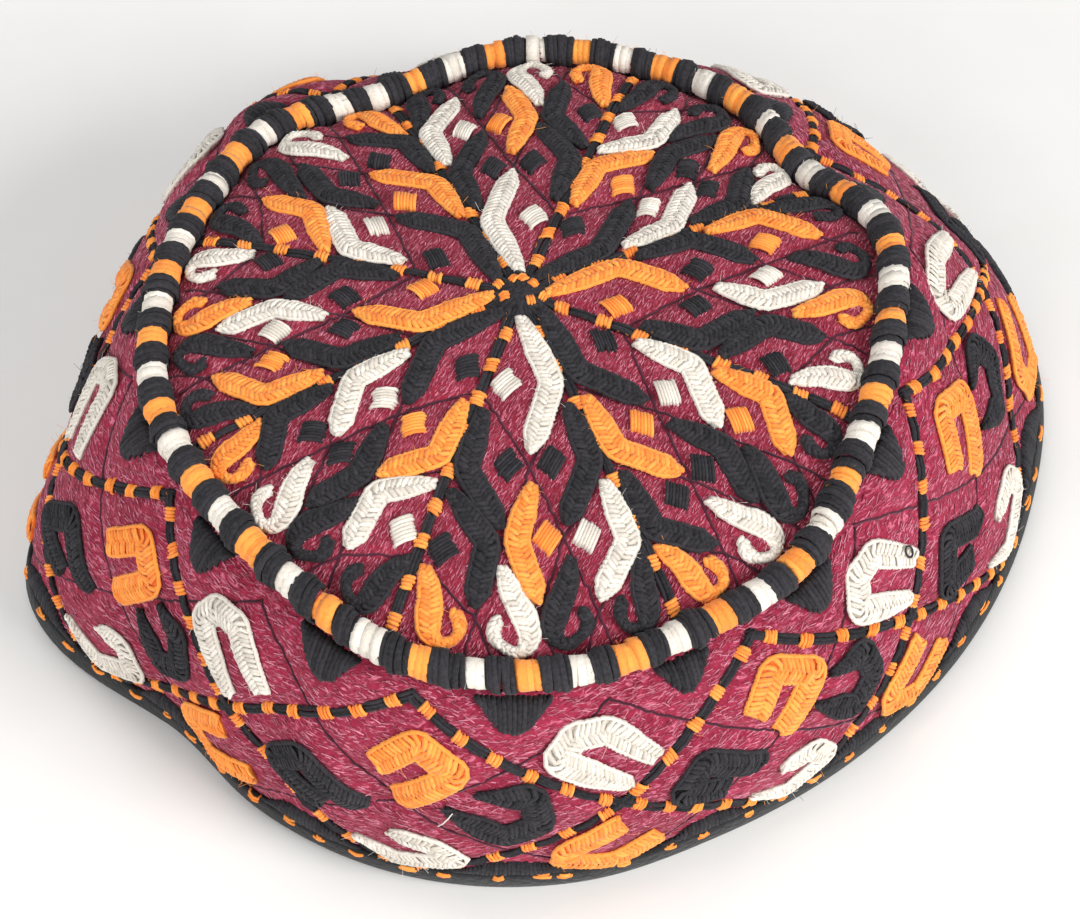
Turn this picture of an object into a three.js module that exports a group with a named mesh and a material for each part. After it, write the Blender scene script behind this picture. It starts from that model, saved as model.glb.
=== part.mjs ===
// Tubeteika skullcap: a quilted crown and side band joined under a wound roll, with a bound hem.
// Millimetres, +Z up. X runs along the crease the cap is folded flat on. The hem stands on Z = 0.
import * as THREE from "three";

// Cloth and seams
const CLOTH = 2; // quilted wall of the crown and the side band
const BINDING = 1; // each leg and the sole of the hem binding
const GAP = 0.3; // clearance between neighbouring pieces
const ROLL_RADIUS = 2.8;
const HEM_HEIGHT = 6;

// Crown
const CROWN_HEIGHT = 55.6; // top of the crown at its middle
const CROWN_POWER = 1.6; // 1 falls straight to the seam, 2 like a bowl
const TUCK_DEPTH = 2; // the edge turns down under the roll
const TUCK_WIDTH = 4;

// Side band
const SHOULDER_REACH = 17; // how far the shoulder keeps its slope
const WALL_REACH = 15; // how far the lower wall keeps its lean
const UPRIGHT_LEAN = 0.36; // outward run per mm of rise of the lower wall, without flare
const LEAN_PER_FLARE = -0.0186; // change of that run for each mm that the rim is wider than the roll

// Fineness
const SEGMENTS = 96;
const CROWN_STEPS = 9;
const BAND_STEPS = 7;
const ROLL_SIDES = 10;

// Sections round the cap: the roll's centre line, how steeply the band leaves it and the outside of the rim.
// Angles and slopes are in degrees, slopes below level.
const SECTIONS = [
  { angle: 0, rollRadius: 64.5, rollHeight: 54.5, shoulderSlope: 22, rimRadius: 104.5 },
  { angle: 18, rollRadius: 60, rollHeight: 51, shoulderSlope: 12, rimRadius: 109 },
  { angle: 35, rollRadius: 65, rollHeight: 49, shoulderSlope: 12, rimRadius: 104 },
  { angle: 55, rollRadius: 67, rollHeight: 47, shoulderSlope: 17, rimRadius: 94 },
  { angle: 75, rollRadius: 67.5, rollHeight: 46, shoulderSlope: 22, rimRadius: 86 },
  { angle: 100, rollRadius: 62, rollHeight: 45.5, shoulderSlope: 15, rimRadius: 83 },
  { angle: 120, rollRadius: 65, rollHeight: 47.5, shoulderSlope: 12, rimRadius: 83 },
  { angle: 140, rollRadius: 62, rollHeight: 50, shoulderSlope: 22, rimRadius: 82 },
  { angle: 162, rollRadius: 61.5, rollHeight: 51.5, shoulderSlope: 36, rimRadius: 83.5 },
  { angle: 180, rollRadius: 62.5, rollHeight: 52, shoulderSlope: 40, rimRadius: 93.5 },
  { angle: 207, rollRadius: 62.5, rollHeight: 52, shoulderSlope: 40, rimRadius: 80 },
  { angle: 222, rollRadius: 64, rollHeight: 50.5, shoulderSlope: 41, rimRadius: 81.5 },
  { angle: 240, rollRadius: 67.5, rollHeight: 48, shoulderSlope: 42, rimRadius: 82.5 },
  { angle: 262, rollRadius: 66, rollHeight: 44, shoulderSlope: 44, rimRadius: 82 },
  { angle: 280, rollRadius: 63.5, rollHeight: 43, shoulderSlope: 44, rimRadius: 80.5 },
  { angle: 300, rollRadius: 64, rollHeight: 45, shoulderSlope: 42, rimRadius: 82.5 },
  { angle: 318, rollRadius: 61.5, rollHeight: 50.5, shoulderSlope: 38, rimRadius: 87 },
  { angle: 340, rollRadius: 62, rollHeight: 54.5, shoulderSlope: 34, rimRadius: 95 },
];

// Upright puckers pressed into the side band, angle and spread in degrees
const PUCKERS = [
  { angle: 224, spread: 4, depth: 1.4 },
  { angle: 239, spread: 4, depth: 1.4 },
  { angle: 346, spread: 4, depth: 1.2 },
];

const closedSections = [...SECTIONS, { ...SECTIONS[0], angle: 360 }];
const outline = new THREE.CubicInterpolant(
  closedSections.map((row) => row.angle),
  closedSections.flatMap((row) => [row.rollRadius, row.rollHeight, row.shoulderSlope, row.rimRadius]),
  4,
);
outline.settings = { endingStart: THREE.WrapAroundEnding, endingEnd: THREE.WrapAroundEnding };

// What the profiles need to know about the cap at one angle
function sectionAt(angle) {
  const [rollRadius, rollHeight, shoulderSlope, rimRadius] = outline.evaluate(angle);
  const fall = THREE.MathUtils.degToRad(shoulderSlope);
  const pressed = PUCKERS.map((fold) => fold.depth * Math.exp(-(((angle - fold.angle) / fold.spread) ** 2)));
  return {
    roll: new THREE.Vector2(rollRadius, rollHeight),
    seam: new THREE.Vector2(rollRadius, rollHeight - ROLL_RADIUS - GAP),
    slope: new THREE.Vector2(Math.cos(fall), -Math.sin(fall)),
    rim: rimRadius,
    lean: UPRIGHT_LEAN + LEAN_PER_FLARE * (rimRadius - rollRadius),
    pucker: pressed.reduce((sum, depth) => sum + depth, 0),
  };
}

// A point of the lower wall, so far inside the rim's outer face
function wallPoint({ rim, lean }, inset, height) {
  return new THREE.Vector2(rim - inset + lean * height, height);
}

function crownProfile({ seam }) {
  const edge = seam.x - GAP / 2;
  const top = [];
  for (let step = 0; step <= CROWN_STEPS; step += 1) {
    const share = Math.sin((Math.PI / 2) * (step / CROWN_STEPS));
    const fall = (CROWN_HEIGHT - seam.y - TUCK_DEPTH) * share ** CROWN_POWER;
    const tuck = TUCK_DEPTH * Math.exp(-(((edge - edge * share) / TUCK_WIDTH) ** 2));
    top.push(new THREE.Vector2(edge * share, CROWN_HEIGHT - fall - tuck));
  }
  const under = top.map((point) => new THREE.Vector2(point.x, point.y - CLOTH));
  return [...under, ...top.reverse()];
}

function rollProfile({ roll }) {
  const points = [];
  for (let side = 0; side <= ROLL_SIDES; side += 1) {
    const turn = (2 * Math.PI * (side % ROLL_SIDES)) / ROLL_SIDES;
    const outward = new THREE.Vector2(Math.sin(turn), -Math.cos(turn));
    points.push(roll.clone().addScaledVector(outward, ROLL_RADIUS));
  }
  return points;
}

// One face of the side band, top to foot, at a depth below its outside
function bandFace(section, depth) {
  const { seam, slope, lean, pucker } = section;
  const top = new THREE.Vector2(seam.x + GAP / 2, seam.y - depth / slope.x);
  const foot = wallPoint(section, BINDING + GAP + depth, BINDING + GAP);
  const ankle = wallPoint(section, BINDING + GAP + depth, HEM_HEIGHT);
  const shoulder = top.clone().addScaledVector(slope, SHOULDER_REACH);
  const waist = ankle.clone().addScaledVector(new THREE.Vector2(lean, 1), WALL_REACH);
  const points = new THREE.CubicBezierCurve(top, shoulder, waist, ankle).getPoints(BAND_STEPS);
  points.forEach((point, step) => {
    point.x -= pucker * Math.sin((Math.PI * step) / BAND_STEPS);
  });
  return [...points, foot];
}

function bandProfile(section) {
  const outside = bandFace(section, 0).reverse();
  return [...outside, ...bandFace(section, CLOTH), outside[0]];
}

function hemProfile(section) {
  const slot = CLOTH + 2 * GAP;
  const inside = slot + 2 * BINDING;
  return [
    wallPoint(section, 0, 0),
    wallPoint(section, 0, HEM_HEIGHT),
    wallPoint(section, BINDING, HEM_HEIGHT),
    wallPoint(section, BINDING, BINDING),
    wallPoint(section, BINDING + slot, BINDING),
    wallPoint(section, BINDING + slot, HEM_HEIGHT),
    wallPoint(section, inside, HEM_HEIGHT),
    wallPoint(section, inside, 0),
    wallPoint(section, 0, 0),
  ];
}

// Turns a profile round the Z axis, with each column of the lathe at its own section
function sweep(name, profileOf, material) {
  const geometry = new THREE.LatheGeometry(profileOf(sectionAt(0)), SEGMENTS);
  const position = geometry.getAttribute("position");
  let vertex = 0;
  for (let column = 0; column <= SEGMENTS; column += 1) {
    const angle = (360 * (column % SEGMENTS)) / SEGMENTS;
    const turn = THREE.MathUtils.degToRad(angle);
    for (const point of profileOf(sectionAt(angle))) {
      position.setXYZ(vertex, point.x * Math.cos(turn), point.x * Math.sin(turn), point.y);
      vertex += 1;
    }
  }
  geometry.computeVertexNormals();
  const mesh = new THREE.Mesh(geometry, new THREE.MeshStandardMaterial(material));
  mesh.name = name;
  return mesh;
}

const cap = new THREE.Group();
cap.add(
  sweep("crown", crownProfile, { color: 0x7d1f3e, roughness: 0.9, metalness: 0 }),
  sweep("crown_roll", rollProfile, { color: 0x2a2c2e, roughness: 0.8, metalness: 0 }),
  sweep("side_band", bandProfile, { color: 0x7d1f3e, roughness: 0.9, metalness: 0 }),
  sweep("hem_binding", hemProfile, { color: 0x222426, roughness: 0.85, metalness: 0 }),
);

// The part's origin is the middle of its footprint
const middle = new THREE.Box3().setFromObject(cap).getCenter(new THREE.Vector3());
cap.position.set(-middle.x, -middle.y, 0);

const part = new THREE.Group();
part.add(cap);

export default part;
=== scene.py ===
"""Tubeteika skullcap: quilted crown and side band, wound roll, bound hem, and the stitching on them."""

import bpy
import numpy as np
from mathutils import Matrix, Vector
from mathutils.kdtree import KDTree


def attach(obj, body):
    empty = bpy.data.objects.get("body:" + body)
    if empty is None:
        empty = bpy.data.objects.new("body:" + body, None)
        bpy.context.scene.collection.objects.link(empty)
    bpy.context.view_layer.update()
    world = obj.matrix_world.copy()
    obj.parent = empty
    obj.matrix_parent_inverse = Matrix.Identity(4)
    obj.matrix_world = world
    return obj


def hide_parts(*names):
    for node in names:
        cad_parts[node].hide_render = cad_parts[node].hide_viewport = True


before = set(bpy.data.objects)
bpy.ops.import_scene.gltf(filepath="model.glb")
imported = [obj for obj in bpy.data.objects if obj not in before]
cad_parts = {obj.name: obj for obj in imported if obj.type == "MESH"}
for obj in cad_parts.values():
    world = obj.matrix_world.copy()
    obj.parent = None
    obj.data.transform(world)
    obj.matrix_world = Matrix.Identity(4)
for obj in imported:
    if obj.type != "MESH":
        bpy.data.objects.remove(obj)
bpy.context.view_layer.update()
chance = np.random.default_rng(51)

# Sizes are in millimetres and angles in degrees until a mesh is made
MM = 0.001
FULL_TURN = 360.0
AXIS = np.array((-6.37, -1.02))

# The cap's own sizes, the same as those of the solids
BINDING = 1.0
GAP = 0.3
ROLL_RADIUS = 2.8
HEM_HEIGHT = 6.0
CROWN_HEIGHT = 55.6
CROWN_POWER = 1.6
TUCK_DEPTH = 2.0
TUCK_WIDTH = 4.0
SHOULDER_REACH = 17.0
WALL_REACH = 15.0
UPRIGHT_LEAN = 0.36
LEAN_PER_FLARE = -0.0186

# Angle, roll radius, roll height, shoulder slope, rim radius
SECTIONS = np.array((
    (0, 64.5, 54.5, 22, 104.5),
    (18, 60, 51, 12, 109),
    (35, 65, 49, 12, 104),
    (55, 67, 47, 17, 94),
    (75, 67.5, 46, 22, 86),
    (100, 62, 45.5, 15, 83),
    (120, 65, 47.5, 12, 83),
    (140, 62, 50, 22, 82),
    (162, 61.5, 51.5, 36, 83.5),
    (180, 62.5, 52, 40, 93.5),
    (207, 62.5, 52, 40, 80),
    (222, 64, 50.5, 41, 81.5),
    (240, 67.5, 48, 42, 82.5),
    (262, 66, 44, 44, 82),
    (280, 63.5, 43, 44, 80.5),
    (300, 64, 45, 42, 82.5),
    (318, 61.5, 50.5, 38, 87),
    (340, 62, 54.5, 34, 95),
))

# Angle, spread, depth of the upright puckers in the band
PUCKERS = ((224, 4, 1.4), (239, 4, 1.4), (346, 4, 1.2))

# Quilting: how far the cloth puffs up between its sewn lines, and how wide a sewn line dips
CROWN_PUFF = 0.7
BAND_PUFF = 0.9
GROOVE = 1.7
MEAN_EDGE = 64.0
BAND_SPACING = 17.4
CLOTH_WALL = 1.8

# Shares of a cloth over which the puff dies away at the seam and at the lower edge
SEAM_EASE = 0.08
EDGE_EASE = 0.06

# Fineness of the charts that hold the cloth's surface
CHART_COLUMNS = 1440
CHART_ROWS = 97
PROFILE_STEPS = 60
BAND_REACH = 1.12

# Crown chart: plan angles of the eight spokes, and the lattice between two of them
SPOKES = (13.0, 56.0, 99.0, 148.0, 193.0, 236.7, 279.5, 323.5)
SPOKE_REACH = (0.07, 0.97)
LATTICE = (0.0, 0.30, 0.53, 0.76, 1.0)
LATTICE_PULL = 0.87

# Band chart: angles of the lattice nodes at the seam, and of the crossings between them
BAND_NODES = (23.0, 43.5, 64.0, 85.0, 107.0, 129.0, 151.0, 173.4, 195.9, 217.4, 241.4, 267.2,
              288.8, 310.9, 332.4, 358.5)
LAPS = np.arange(-1, 3)[:, None]
NODE_TURNS = (np.array(BAND_NODES) + FULL_TURN * LAPS).ravel()
NODE_PLACES = np.arange(len(NODE_TURNS)) - len(BAND_NODES)
BAND_MIDDLE = 0.57
BAND_HALF = 0.47
EAR_ANGLE = 355.0
EAR_SPREAD = 14.0
EAR_LIFT = 0.22

# Where the band stands up behind the roll: angle, spread, share, spread of the share, height
BULGE = (110.0, 14.0, 0.24, 0.2, 3.6)


def smooth(share):
    """Eases from 0 to 1 without corners."""
    clipped = np.clip(share, 0, 1)
    return clipped * clipped * (3 - 2 * clipped)


def unit(vectors):
    """The same directions at length one."""
    return vectors / np.maximum(np.linalg.norm(vectors, axis=-1, keepdims=True), 1e-9)


def compass(angles):
    """Level directions at these angles, as places in plan."""
    turn = np.radians(angles)
    return np.stack((np.cos(turn), np.sin(turn)), axis=-1)


def outward_at(angles):
    """Level directions at these angles, in space."""
    level = compass(angles)
    return np.concatenate((level, np.zeros_like(level[..., :1])), axis=-1)


def aside(way):
    """A direction in plan turned a quarter to its left."""
    return np.array((-way[1], way[0]))


def turned(angles, radius, height):
    """Points round the cap's axis."""
    turn = np.radians(angles)
    return np.stack((AXIS[0] + radius * np.cos(turn), AXIS[1] + radius * np.sin(turn), height), axis=-1)


def beside(angles, angle):
    """How far angles lie from one of them, the short way round."""
    return (np.asarray(angles) - angle + FULL_TURN / 2) % FULL_TURN - FULL_TURN / 2


def between(places, knots, table):
    """Rows of a table read between its knots."""
    return np.stack([np.interp(places, knots, column) for column in np.asarray(table).T], axis=-1)


def sections_at(angles):
    """Roll radius, roll height, shoulder slope and rim radius at these angles."""
    angles = np.asarray(angles, float) % FULL_TURN
    knots = SECTIONS[:, 0]
    count = len(knots)
    low = np.searchsorted(knots, angles, side="right") - 1
    back, here, ahead, beyond = ((low + step) % count for step in (-1, 0, 1, 2))
    span = (knots[ahead] - knots[here]) % FULL_TURN
    before = 0.5 * span / ((knots[here] - knots[back]) % FULL_TURN)
    after = 0.5 * span / ((knots[beyond] - knots[ahead]) % FULL_TURN)
    p = (angles - knots[here]) / span
    weights = (
        -before * p**3 + 2 * before * p**2 - before * p,
        (1 + before) * p**3 + (-1.5 - 2 * before) * p**2 + (-0.5 + before) * p + 1,
        (-1 - after) * p**3 + (1.5 + after) * p**2 + 0.5 * p,
        after * p**3 - after * p**2,
    )
    rows = (back, here, ahead, beyond)
    mixed = sum(weight[..., None] * SECTIONS[row, 1:] for weight, row in zip(weights, rows))
    return np.moveaxis(mixed, -1, 0)


def crown_profile(angles, shares):
    """Radius and height of the crown's outside."""
    roll_radius, roll_height, _, _ = sections_at(angles)
    seam = roll_height - ROLL_RADIUS - GAP
    edge = roll_radius - GAP / 2
    fall = (CROWN_HEIGHT - seam - TUCK_DEPTH) * shares**CROWN_POWER
    tuck = TUCK_DEPTH * np.exp(-((edge * (1 - shares) / TUCK_WIDTH) ** 2))
    return edge * shares, CROWN_HEIGHT - fall - tuck


def wall_lean(section):
    """Outward run of the lower wall for each millimetre of rise."""
    roll_radius, _, _, rim = section
    return UPRIGHT_LEAN + LEAN_PER_FLARE * (rim - roll_radius)


def wall_point(section, inset, height):
    """Radius of the lower wall so far inside the rim's outer face."""
    return section[3] - inset + wall_lean(section) * height


def band_profile(angles, shares):
    """Radius and height of the band's outside, with even steps from the seam down past the hem's top."""
    angles = angles[:, 0]
    section = sections_at(angles)
    roll_radius, roll_height, slope, rim = section
    fall = np.radians(slope)
    lean = wall_lean(section)
    inset = BINDING + GAP
    top = np.stack((roll_radius + GAP / 2, roll_height - ROLL_RADIUS - GAP))
    ankle = np.stack((wall_point(section, inset, HEM_HEIGHT), np.full_like(rim, HEM_HEIGHT)))
    foot = np.stack((wall_point(section, inset, inset), np.full_like(rim, inset)))
    shoulder = top + SHOULDER_REACH * np.stack((np.cos(fall), -np.sin(fall)))
    waist = ankle + WALL_REACH * np.stack((lean, np.ones_like(lean)))
    t = np.linspace(0, 1, PROFILE_STEPS)[:, None, None]
    curve = (1 - t) ** 3 * top + 3 * t * (1 - t) ** 2 * shoulder + 3 * t**2 * (1 - t) * waist + t**3 * ankle
    pressed = sum(depth * np.exp(-((beside(angles, turn) / spread) ** 2)) for turn, spread, depth in PUCKERS)
    curve[:, 0] -= pressed * np.sin(np.pi * t[:, 0])
    curve = np.concatenate((curve, foot[None]))
    lengths = np.linalg.norm(np.diff(curve, axis=0), axis=1)
    run = np.concatenate((np.zeros((1, len(angles))), np.cumsum(lengths, axis=0)))
    run = run / run[-2]
    radius = np.stack([np.interp(shares[0], run[:, k], curve[:, 0, k]) for k in range(len(angles))])
    height = np.stack([np.interp(shares[0], run[:, k], curve[:, 1, k]) for k in range(len(angles))])
    return radius, height


class Cloth:
    """A cloth's outside, charted by angle round the cap and share from its inner or upper edge."""

    def __init__(self, profile, relief, chart, reach=1.0):
        self.reach = reach
        self.chart = chart
        angles = np.linspace(0, FULL_TURN, CHART_COLUMNS, endpoint=False)[:, None]
        shares = np.linspace(0, reach, CHART_ROWS)[None, :]
        points = turned(angles, *profile(angles, shares))
        around = np.roll(points, -1, axis=0) - np.roll(points, 1, axis=0)
        down = np.gradient(points, axis=1)
        normals = unit(np.cross(down, around))
        normals[:, 0] = unit(normals[:, 1].mean(axis=0)) if profile is crown_profile else normals[:, 1]
        self.normals = normals
        self.points = points + normals * relief(angles, shares)[..., None]

    def mixed(self, table, angles, shares):
        """The chart's value between its columns and rows."""
        column = (np.asarray(angles) / FULL_TURN * CHART_COLUMNS) % CHART_COLUMNS
        row = np.clip(np.asarray(shares) / self.reach, 0, 1) * (CHART_ROWS - 1)
        left = np.floor(column).astype(int) % CHART_COLUMNS
        upper = np.minimum(np.floor(row).astype(int), CHART_ROWS - 2)
        across = (column - np.floor(column))[..., None]
        below = (row - upper)[..., None]
        right = (left + 1) % CHART_COLUMNS
        high = table[left, upper] * (1 - across) + table[right, upper] * across
        low = table[left, upper + 1] * (1 - across) + table[right, upper + 1] * across
        return high * (1 - below) + low * below

    def place(self, angles, shares, lift=0.0):
        """Points on the quilted cloth, lifted off it."""
        lift = np.broadcast_to(np.asarray(lift, float), np.shape(angles))[..., None]
        return self.mixed(self.points, angles, shares) + self.normal(angles, shares) * lift

    def normal(self, angles, shares):
        """Which way the cloth faces."""
        return unit(self.mixed(self.normals, angles, shares))

    def lay(self, path, lift=0.0):
        """Points on the cloth from chart points."""
        angles, shares = self.chart(np.asarray(path, float))
        return self.place(angles, shares, lift), self.normal(angles, shares)


def crown_chart(path):
    """Angle and share of points in the crown's plan, whose edge is at distance one."""
    return np.degrees(np.arctan2(path[..., 1], path[..., 0])), np.hypot(path[..., 0], path[..., 1])


def band_chart(path):
    """Angle and share of points in the band's lattice, whose nodes are one apart."""
    angles = np.interp(path[..., 0], NODE_PLACES, NODE_TURNS)
    level = path[..., 1]
    return angles, BAND_MIDDLE + BAND_HALF * (level - ear_lift(angles) * np.clip(1 - level**2, 0, 1))


def ear_lift(angles):
    """How far the lattice is drawn up on the flared end of the cap."""
    return EAR_LIFT * np.exp(-((beside(angles, EAR_ANGLE) / EAR_SPREAD) ** 2))


def spoke_direction(index):
    """Which way a spoke runs in plan."""
    return compass(SPOKES[index % len(SPOKES)])


def lattice_node(sector, along_low, along_high):
    """A node of the crown's lattice between spoke number sector and the next."""
    pull = 1.0 if min(along_low, along_high) == 0 else LATTICE_PULL
    low = LATTICE[along_low] * spoke_direction(sector)
    return pull * (low + LATTICE[along_high] * spoke_direction(sector + 1))


def cell_point(sector, cell, place):
    """A point of one lattice cell, its place given along the low and the high side."""
    i, j = cell
    x, y = place
    corners = [lattice_node(sector, *node) for node in ((i, j), (i + 1, j), (i, j + 1), (i + 1, j + 1))]
    weights = ((1 - x) * (1 - y), x * (1 - y), (1 - x) * y, x * y)
    return sum(weight * corner for weight, corner in zip(weights, corners))


def quilting_lines():
    """The sewn lines of the crown as chart paths, without the spokes."""
    steps = range(len(LATTICE))
    lines = []
    for sector in range(len(SPOKES)):
        for fixed in steps[1:]:
            reach = [step for step in steps if fixed + step <= len(LATTICE)]
            lines.append(np.array([lattice_node(sector, fixed, step) for step in reach]))
            lines.append(np.array([lattice_node(sector, step, fixed) for step in reach]))
    return lines


def spoke_lines():
    """The eight spokes as chart paths."""
    return [np.outer(SPOKE_REACH, spoke_direction(k)) for k in range(len(SPOKES))]


def crown_relief(angles, shares):
    """How far the crown puffs up, from the distance to the nearest sewn line."""
    plan = shares[..., None] * compass(angles)
    nearest = np.full(plan.shape[:2], 1.0)
    for line in quilting_lines() + spoke_lines():
        for start, end in zip(line[:-1], line[1:]):
            side = end - start
            share = np.clip(((plan - start) @ side) / (side @ side), 0, 1)
            gone = plan - start - share[..., None] * side
            nearest = np.minimum(nearest, np.hypot(gone[..., 0], gone[..., 1]))
    puff = 1 - np.exp(-((nearest * MEAN_EDGE / GROOVE) ** 2))
    return CROWN_PUFF * puff * smooth((1 - shares) / EDGE_EASE)


def band_relief(angles, shares):
    """How far the band puffs up between its two sets of slanting lines."""
    x = np.interp(angles, NODE_TURNS, NODE_PLACES)
    level = (shares - BAND_MIDDLE) / BAND_HALF
    y = level + ear_lift(angles) * np.clip(1 - level**2, 0, 1)
    rising = np.abs(x + y - np.round(x + y)) * BAND_SPACING
    falling = np.abs(x - y - np.round(x - y)) * BAND_SPACING
    puff = (1 - np.exp(-((rising / GROOVE) ** 2))) * (1 - np.exp(-((falling / GROOVE) ** 2)))
    angle, spread, share, reach, rise = BULGE
    hump = rise * np.exp(-(((angles - angle) / spread) ** 2)) * np.exp(-(((shares - share) / reach) ** 2))
    return (BAND_PUFF * puff + hump) * smooth(shares / SEAM_EASE) * smooth((1 - shares) / EDGE_EASE)


crown = Cloth(crown_profile, crown_relief, crown_chart)
band = Cloth(band_profile, band_relief, band_chart, BAND_REACH)

# Direction of the crown cloth's weave in plan
WEAVE_TURN = np.radians(47.0)


class Shade:
    """A shader socket. Arithmetic on it adds Math nodes to its tree."""

    def __init__(self, tree, socket=None):
        self.tree = tree
        self.socket = socket

    def node(self, kind, settings=None, sockets=None, output=0):
        """A new node with its settings, then the values or links of its sockets."""
        made = self.tree.nodes.new(kind)
        for name, value in (settings or {}).items():
            if name == "stops":
                first, last = made.color_ramp.elements
                first.position, first.color = value[0]
                last.position, last.color = value[-1]
                for place, colour in value[1:-1]:
                    made.color_ramp.elements.new(place).color = colour
            else:
                setattr(made, name, value)
        for name, value in (sockets or {}).items():
            if isinstance(value, Shade):
                self.tree.links.new(value.socket, made.inputs[name])
            else:
                made.inputs[name].default_value = value
        return Shade(self.tree, made.outputs[output])

    def math(self, operation, first, second=0.0):
        return self.node("ShaderNodeMath", {"operation": operation}, {0: first, 1: second})

    def mix(self, share, first, second):
        """A colour between two others."""
        return self.node("ShaderNodeMix", {"data_type": "RGBA"}, {0: share, 6: first, 7: second}, 2)

    def __add__(self, other):
        return self.math("ADD", self, other)

    def __radd__(self, other):
        return self.math("ADD", other, self)

    def __sub__(self, other):
        return self.math("SUBTRACT", self, other)

    def __rsub__(self, other):
        return self.math("SUBTRACT", other, self)

    def __mul__(self, other):
        return self.math("MULTIPLY", self, other)

    def __rmul__(self, other):
        return self.math("MULTIPLY", other, self)


def colour(red, green, blue):
    """A colour given as it looks on a screen, from 0 to 255."""
    screen = np.array((red, green, blue)) / 255
    light = np.where(screen <= 0.04045, screen / 12.92, ((screen + 0.055) / 1.055) ** 2.4)
    return (*light.tolist(), 1.0)


def start_finish(name, sheen):
    """A new material, its tree as a Shade and its shader."""
    material = bpy.data.materials.new(name)
    material.use_nodes = True
    tree = material.node_tree
    shader = tree.nodes["Principled BSDF"]
    shader.inputs["Sheen Weight"].default_value = sheen
    shader.inputs["Sheen Roughness"].default_value = 0.5
    shader.inputs["Specular IOR Level"].default_value = 0.2
    return material, Shade(tree), shader


def end_finish(shade, shader, base, roughness, height, depth):
    """Joins colour, roughness and bump to the shader."""
    bump = shade.node("ShaderNodeBump", None, {"Height": height, "Distance": depth, "Strength": 1.0})
    for name, value in (("Base Color", base), ("Roughness", roughness), ("Normal", bump)):
        shade.tree.links.new(value.socket, shader.inputs[name])


def yarn_finish(name, light, deep, sheen=0.15, grain=0.4):
    """Spun thread: every stitch has its own tint; its fibres add painted shade in the hollows between the
    plies and painted glints on their tops, more so the stronger the grain.
    """
    material, shade, shader = start_finish(name, sheen)
    place = shade.node("ShaderNodeTexCoord", output=3)
    tint = shade.node("ShaderNodeAttribute", {"attribute_name": "tint"}, output=2)
    fibres = shade.node("ShaderNodeTexNoise", None, {"Vector": place, "Scale": 1700.0, "Detail": 3.0})
    wear = shade.node("ShaderNodeTexNoise", None, {"Vector": place, "Scale": 70.0, "Detail": 2.0})
    # fibres bumps the yarn and, scaled by grain, also paints shade into its low spots and glints onto its
    # high spots
    mixing = 0.3 + tint * 0.45 + fibres * grain + wear * 0.2 - 0.5 * grain
    base = shade.mix(mixing, deep, light)
    end_finish(shade, shader, base, 0.9 - fibres * 0.2, fibres, 0.00018)
    return material


def ground_finish(name, light, deep, pale, turn, stretch):
    """Burgundy homespun under the stitches: uneven dye and short pale streaks along the weave."""
    material, shade, shader = start_finish(name, 0.1)
    place = shade.node("ShaderNodeTexCoord", output=3)
    dye = shade.node("ShaderNodeTexNoise", None, {"Vector": place, "Scale": 70.0, "Detail": 3.0})
    speck = shade.node("ShaderNodeTexNoise", None, {"Vector": place, "Scale": 1200.0, "Detail": 2.0})
    settings = {"Vector": place, "Rotation": (0.0, 0.0, turn), "Scale": stretch}
    weave = shade.node("ShaderNodeMapping", {"vector_type": "TEXTURE"}, settings)
    settings = {"Vector": weave, "Scale": 1.0, "Detail": 2.0, "Roughness": 0.55, "Distortion": 0.9}
    streaks = shade.node("ShaderNodeTexNoise", None, settings)
    settings = {"stops": ((0.52, (0, 0, 0, 1)), (0.72, (1, 1, 1, 1)))}
    threads = shade.node("ShaderNodeValToRGB", settings, {"Fac": streaks})
    cloth = shade.mix(dye * 0.6 + speck * 0.8 - 0.25, deep, light)
    base = shade.mix(threads * 0.75, cloth, pale)
    end_finish(shade, shader, base, 0.95 - speck * 0.15, streaks * 0.9 + speck * 0.5, 0.0005)
    return material


def fleck_finish(name, light, deep):
    """The small slanting strokes of the ground, from dull burgundy to worn pink."""
    material, shade, shader = start_finish(name, 0.1)
    place = shade.node("ShaderNodeTexCoord", output=3)
    tint = shade.node("ShaderNodeAttribute", {"attribute_name": "tint"}, output=2)
    fibres = shade.node("ShaderNodeTexNoise", None, {"Vector": place, "Scale": 1500.0, "Detail": 2.0})
    base = shade.mix(tint * 0.85 + fibres * 0.3 - 0.1, deep, light)
    end_finish(shade, shader, base, 0.95 - fibres * 0.15, fibres, 0.00012)
    return material


def binding_finish(name, light, deep):
    """Felted black cotton of the hem, worn paler in uneven patches."""
    material, shade, shader = start_finish(name, 0.12)
    place = shade.node("ShaderNodeTexCoord", output=3)
    nap = shade.node("ShaderNodeTexNoise", None, {"Vector": place, "Scale": 900.0, "Detail": 4.0})
    wear = shade.node("ShaderNodeTexNoise", None, {"Vector": place, "Scale": 90.0, "Detail": 3.0})
    base = shade.mix(nap * 0.6 + wear * 0.5 - 0.2, deep, light)
    end_finish(shade, shader, base, 0.95 - nap * 0.1, nap, 0.0004)
    return material


def floor_finish():
    """Plain pale floor with a faint grain."""
    material, shade, shader = start_finish("pale_floor", 0.0)
    place = shade.node("ShaderNodeTexCoord", output=3)
    grain = shade.node("ShaderNodeTexNoise", None, {"Vector": place, "Scale": 40.0, "Detail": 2.0})
    base = shade.mix(grain, colour(226, 224, 220), colour(232, 230, 227))
    end_finish(shade, shader, base, 0.85 + grain * 0.05, grain, 0.0002)
    return material


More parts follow.
